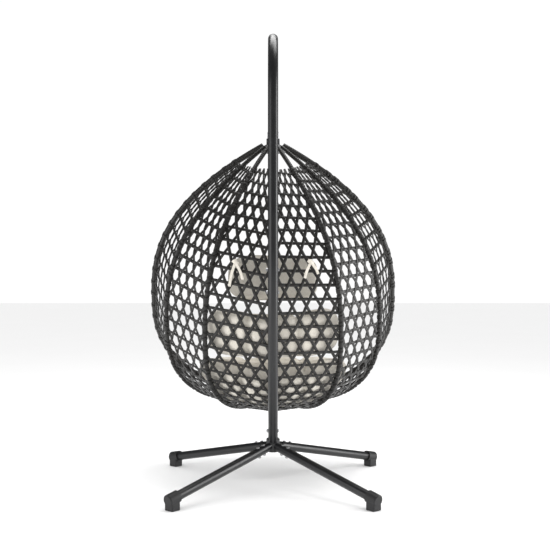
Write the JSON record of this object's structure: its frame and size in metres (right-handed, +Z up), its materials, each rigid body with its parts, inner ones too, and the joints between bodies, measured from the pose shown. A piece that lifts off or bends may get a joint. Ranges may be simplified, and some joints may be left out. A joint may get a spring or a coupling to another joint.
{
  "type": "hanging egg chair",
  "caption": "Woven half-shell seat with cushions, hung on a spring and snap link from a curved post on a cross base.",
  "frame": {"origin": "middle of the footprint of the whole chair, on the floor", "axes": "+Z up, +Y towards the open front of the seat, +X to the left of a person sitting in it as seen facing +Y to the right"},
  "size_m": [1.1712, 1.1421, 1.946],
  "materials": {
    "powder_coat": "satin",
    "wrapped_tube": "satin",
    "cane_weave": "satin",
    "black_plastic": "matte",
    "zinc_steel": "satin",
    "cushion_fabric": "matte"
  },
  "bodies": {
    "stand": {"arch_end_cap": "black_plastic", "arch_eye": "powder_coat", "foot_cap_front_left": "black_plastic", "foot_cap_front_right": "black_plastic", "foot_cap_rear_left": "black_plastic", "foot_cap_rear_right": "black_plastic", "hub": "powder_coat", "leg_front_left": "powder_coat", "leg_front_right": "powder_coat", "leg_rear_left": "powder_coat", "leg_rear_right": "powder_coat", "leg_screws": "zinc_steel", "lower_post": "powder_coat", "post_screws": "zinc_steel", "post_sleeve": "powder_coat", "upper_post": "powder_coat"},
    "snap_link": {"carabiner_body": "zinc_steel"},
    "gate": {"carabiner_gate": "zinc_steel"},
    "spring_upper": {"spring_top_hook": "zinc_steel", "spring_coil": "zinc_steel"},
    "spring_lower": {"spring_bottom_hook": "zinc_steel"},
    "basket": {"back_cushion": "cushion_fabric", "bottom_ring": "wrapped_tube", "crown_boss": "powder_coat", "crown_gusset": "powder_coat", "hanging_loop": "zinc_steel", "headrest_pillow": "cushion_fabric", "pillow_ties": "cushion_fabric", "rib_1": "wrapped_tube", "rib_2": "wrapped_tube", "rib_3": "wrapped_tube", "rib_4": "wrapped_tube", "rib_5": "wrapped_tube", "rim_left": "wrapped_tube", "rim_right": "wrapped_tube", "seat_cushion": "cushion_fabric", "weave_panel_1": "cane_weave", "weave_panel_2": "cane_weave", "weave_panel_3": "cane_weave", "weave_panel_4": "cane_weave", "weave_panel_5": "cane_weave", "weave_panel_6": "cane_weave"}
  },
  "joints": [
    {"name": "swing_fore_aft", "type": "hinge", "parent": "stand", "child": "snap_link", "pos_m": [0, 0.0741, 1.7138], "axis": [1, 0, 0], "range_deg": [-4, 16]},
    {"name": "carabiner_gate", "type": "hinge", "parent": "snap_link", "child": "gate", "pos_m": [-0.013, 0.0741, 1.6787], "axis": [0, 1, 0], "range_deg": [0, 26], "stiffness_Nm_per_rad": 0.05, "springref_deg": -11.46},
    {"name": "sway_sideways", "type": "hinge", "parent": "snap_link", "child": "spring_upper", "pos_m": [0, 0.0741, 1.6671], "axis": [0, 1, 0], "range_deg": [-9, 9]},
    {"name": "spring_stretch", "type": "slide", "parent": "spring_upper", "child": "spring_lower", "axis": [0, 0, -1], "range_m": [0, 0.025], "stiffness_N_per_m": 40000, "springref_m": -0.01, "deforming": ["spring_coil"]},
    {"name": "swivel", "type": "hinge", "parent": "spring_lower", "child": "basket", "pos_m": [0, 0.0741, 1.5786], "axis": [0, 0, 1], "range_deg": [-20, 20]}
  ]
}
